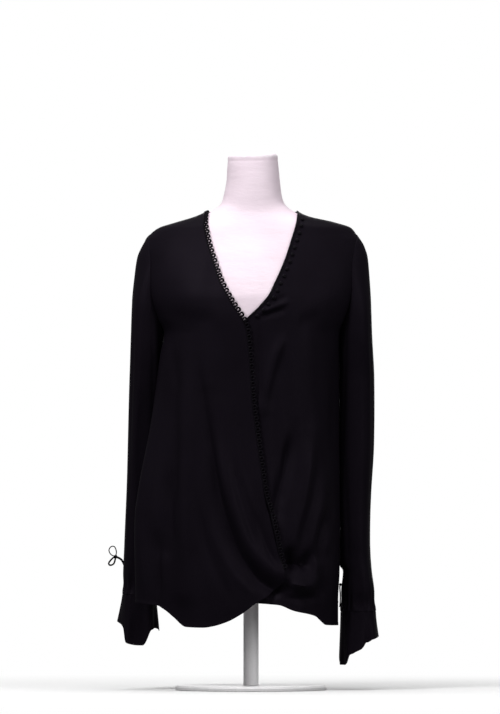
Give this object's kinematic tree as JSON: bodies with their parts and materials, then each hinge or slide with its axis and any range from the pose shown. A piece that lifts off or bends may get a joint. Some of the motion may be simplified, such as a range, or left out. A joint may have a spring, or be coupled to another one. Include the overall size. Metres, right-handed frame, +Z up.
{
  "type": "wrap top on a dress form",
  "caption": "Long-sleeved wrap blouse with a loop-trimmed crossover front, drawn folds and flared cuffs, displayed on a limbless dress form with a pole and round base.",
  "frame": {"origin": "middle of the underside of the round base, on the surface that it stands on", "axes": "+Z up, -Y towards the front of the blouse, +X towards the wearer's left"},
  "size_m": [0.4668, 0.26, 0.924],
  "materials": {
    "crepe": "black crepe with a soft sheen",
    "satin_trim": "black satin cord and covered buttons",
    "form_jersey": "pale matte jersey with fine cross wrinkles",
    "stand_paint": "white satin paint"
  },
  "bodies": {
    "root": {"right_front": "crepe", "left_front": "crepe", "back": "crepe", "right_sleeve": "crepe", "left_sleeve": "crepe", "right_cuff": "crepe", "left_cuff": "crepe", "loop_trim": "satin_trim", "left_neck_binding": "satin_trim", "back_neck_binding": "satin_trim", "right_tie": "satin_trim", "left_tie": "satin_trim", "button_01": "satin_trim", "button_02": "satin_trim", "button_03": "satin_trim", "button_04": "satin_trim", "button_05": "satin_trim", "button_06": "satin_trim", "button_07": "satin_trim", "button_08": "satin_trim", "button_09": "satin_trim", "button_10": "satin_trim", "button_11": "satin_trim", "button_12": "satin_trim", "button_13": "satin_trim", "button_14": "satin_trim", "button_15": "satin_trim", "dress_form": "form_jersey", "pole": "stand_paint", "base": "stand_paint"}
  },
  "joints": []
}
